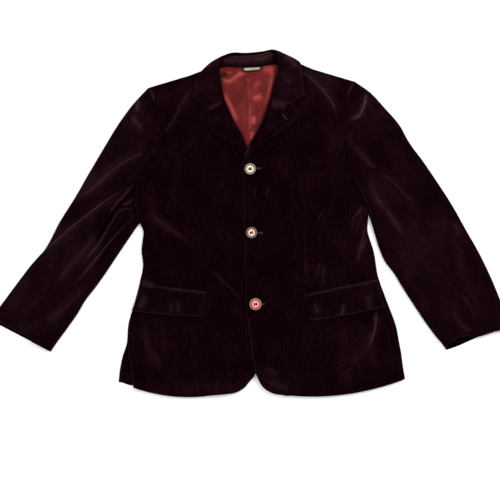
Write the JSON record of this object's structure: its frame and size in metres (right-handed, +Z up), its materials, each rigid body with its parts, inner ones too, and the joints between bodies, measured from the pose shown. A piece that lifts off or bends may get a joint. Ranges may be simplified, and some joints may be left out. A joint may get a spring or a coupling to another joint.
{
  "type": "velvet blazer",
  "caption": "Man's single-breasted velvet blazer laid flat on its back, face up, with notch lapels, flapped pockets, spread sleeves and a red satin lining at the open neck",
  "frame": {"origin": "middle of the jacket's outline on the surface it lies on", "axes": "+X towards the wearer's left sleeve, +Y from the hem to the collar, +Z up from the surface"},
  "size_m": [1.182, 0.7834, 0.0203],
  "materials": {
    "velvet": "dark plum pile velvet",
    "lining": "red satin",
    "label": "black woven label, bare",
    "button_cream": "cream, polished",
    "button_peach": "peach, polished",
    "button_coral": "coral pink, polished"
  },
  "bodies": {
    "root": {"back": "velvet", "front_right": "velvet", "front_left": "velvet", "sleeve_right_upper": "velvet", "sleeve_right_under": "velvet", "sleeve_left_upper": "velvet", "sleeve_left_under": "velvet", "lapel_right": "velvet", "lapel_left": "velvet", "collar": "velvet", "collar_stand": "velvet", "pocket_jet_right": "velvet", "pocket_jet_left": "velvet", "pocket_flap_right": "velvet", "pocket_flap_left": "velvet", "lining": "lining", "neck_label": "label", "button_top": "button_cream", "button_middle": "button_peach", "button_bottom": "button_coral"}
  },
  "joints": []
}
